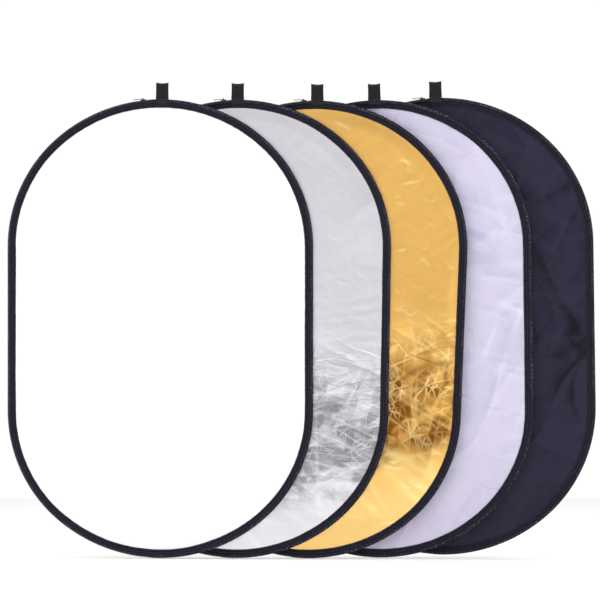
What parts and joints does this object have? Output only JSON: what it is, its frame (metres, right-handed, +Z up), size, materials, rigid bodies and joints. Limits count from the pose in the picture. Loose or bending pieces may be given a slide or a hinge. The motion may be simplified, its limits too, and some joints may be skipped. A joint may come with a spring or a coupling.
{
  "type": "collapsible reflector panel set",
  "caption": "fanned set of oval sprung-hoop fabric light reflectors, white, silver, gold, diffuser and black, with bound rims, zips and webbing hanging loops",
  "frame": {"origin": "centre of the arch inside the front (white) panel's webbing hanging loop", "axes": "+X to the right along the fan (longest extent), +Y from the front panel to the rear panel (shortest extent), +Z up; the cloth faces look along -Y"},
  "size_m": [1.1567, 0.0682, 0.9391],
  "materials": {
    "white_cloth": "matte woven nylon, bright white",
    "silver_cloth": "crinkled metallic silver foil bonded to cloth",
    "gold_cloth": "crinkled metallic gold foil bonded to cloth",
    "diffuser_cloth": "translucent white diffusion nylon",
    "black_cloth": "black satin nylon",
    "edge_tape": "black woven polyester edge tape, stitched",
    "webbing": "black woven polyester webbing",
    "zip_fabric": "black woven zip tape",
    "zip_coil": "black moulded coil",
    "zip_metal": "black enamelled zinc",
    "spring_steel": "blued spring steel band",
    "ferrule_steel": "crimped zinc-plated sleeve"
  },
  "bodies": {
    "white_panel": {"white_hoop": "spring_steel", "white_hoop_ferrule": "ferrule_steel", "white_rim_binding": "edge_tape", "white_hang_loop": "webbing", "white_front_cloth": "white_cloth", "white_back_cloth": "gold_cloth", "white_zip_tape": "zip_fabric", "white_zip_chain": "zip_coil", "white_zip_stops": "zip_metal"},
    "white_slider": {"white_zip_slider": "zip_metal"},
    "white_pull": {"white_zip_pull": "zip_metal"},
    "silver_panel": {"silver_hoop": "spring_steel", "silver_hoop_ferrule": "ferrule_steel", "silver_rim_binding": "edge_tape", "silver_hang_loop": "webbing", "silver_front_cloth": "silver_cloth", "silver_back_cloth": "black_cloth", "silver_zip_tape": "zip_fabric", "silver_zip_chain": "zip_coil", "silver_zip_stops": "zip_metal"},
    "silver_slider": {"silver_zip_slider": "zip_metal"},
    "silver_pull": {"silver_zip_pull": "zip_metal"},
    "gold_panel": {"gold_hoop": "spring_steel", "gold_hoop_ferrule": "ferrule_steel", "gold_rim_binding": "edge_tape", "gold_hang_loop": "webbing", "gold_front_cloth": "gold_cloth", "gold_back_cloth": "white_cloth", "gold_zip_tape": "zip_fabric", "gold_zip_chain": "zip_coil", "gold_zip_stops": "zip_metal"},
    "gold_slider": {"gold_zip_slider": "zip_metal"},
    "gold_pull": {"gold_zip_pull": "zip_metal"},
    "diffuser_panel": {"diffuser_hoop": "spring_steel", "diffuser_hoop_ferrule": "ferrule_steel", "diffuser_rim_binding": "edge_tape", "diffuser_hang_loop": "webbing", "diffuser_cloth": "diffuser_cloth"},
    "black_panel": {"black_hoop": "spring_steel", "black_hoop_ferrule": "ferrule_steel", "black_rim_binding": "edge_tape", "black_hang_loop": "webbing", "black_front_cloth": "black_cloth", "black_back_cloth": "silver_cloth", "black_zip_tape": "zip_fabric", "black_zip_chain": "zip_coil", "black_zip_stops": "zip_metal"},
    "black_slider": {"black_zip_slider": "zip_metal"},
    "black_pull": {"black_zip_pull": "zip_metal"}
  },
  "joints": [
    {"name": "white_zip_slide", "type": "hinge", "parent": "white_panel", "child": "white_slider", "pos_m": [-0.00411, 0, -0.33637], "axis": [0, -1, 0], "range_deg": [-0.6, 32.4]},
    {"name": "white_pull_flip", "type": "hinge", "parent": "white_slider", "child": "white_pull", "pos_m": [-0.03782, 0, -0.0261], "axis": [0, 1, 0], "range_deg": [0, 150]},
    {"name": "silver_panel_slide", "type": "slide", "parent": "white_panel", "child": "silver_panel", "axis": [1, 0, 0], "range_m": [-0.1505, 0.4595]},
    {"name": "silver_zip_slide", "type": "hinge", "parent": "silver_panel", "child": "silver_slider", "pos_m": [0.1486, 0.014, -0.33689], "axis": [0, -1, 0], "range_deg": [-0.6, 32.4]},
    {"name": "silver_pull_flip", "type": "hinge", "parent": "silver_slider", "child": "silver_pull", "pos_m": [0.11977, 0.014, -0.02613], "axis": [0, 1, 0], "range_deg": [0, 150]},
    {"name": "gold_panel_slide", "type": "slide", "parent": "white_panel", "child": "gold_panel", "axis": [1, 0, 0], "range_m": [-0.297, 0.923]},
    {"name": "gold_zip_slide", "type": "hinge", "parent": "gold_panel", "child": "gold_slider", "pos_m": [0.29853, 0.028, -0.33799], "axis": [0, -1, 0], "range_deg": [-0.6, 32.4]},
    {"name": "gold_pull_flip", "type": "hinge", "parent": "gold_slider", "child": "gold_pull", "pos_m": [0.2773, 0.028, -0.02661], "axis": [0, 1, 0], "range_deg": [0, 150]},
    {"name": "diffuser_panel_slide", "type": "slide", "parent": "white_panel", "child": "diffuser_panel", "axis": [1, 0, 0], "range_m": [-0.4315, 1.3985]},
    {"name": "black_panel_slide", "type": "slide", "parent": "white_panel", "child": "black_panel", "axis": [1, 0, 0], "range_m": [-0.5545, 1.8855]},
    {"name": "black_zip_slide", "type": "hinge", "parent": "black_panel", "child": "black_slider", "pos_m": [0.54843, 0.056, -0.33189], "axis": [0, -1, 0], "range_deg": [-0.6, 32.4]},
    {"name": "black_pull_flip", "type": "hinge", "parent": "black_slider", "child": "black_pull", "pos_m": [0.51039, 0.056, -0.02211], "axis": [0, 1, 0], "range_deg": [0, 150]}
  ]
}
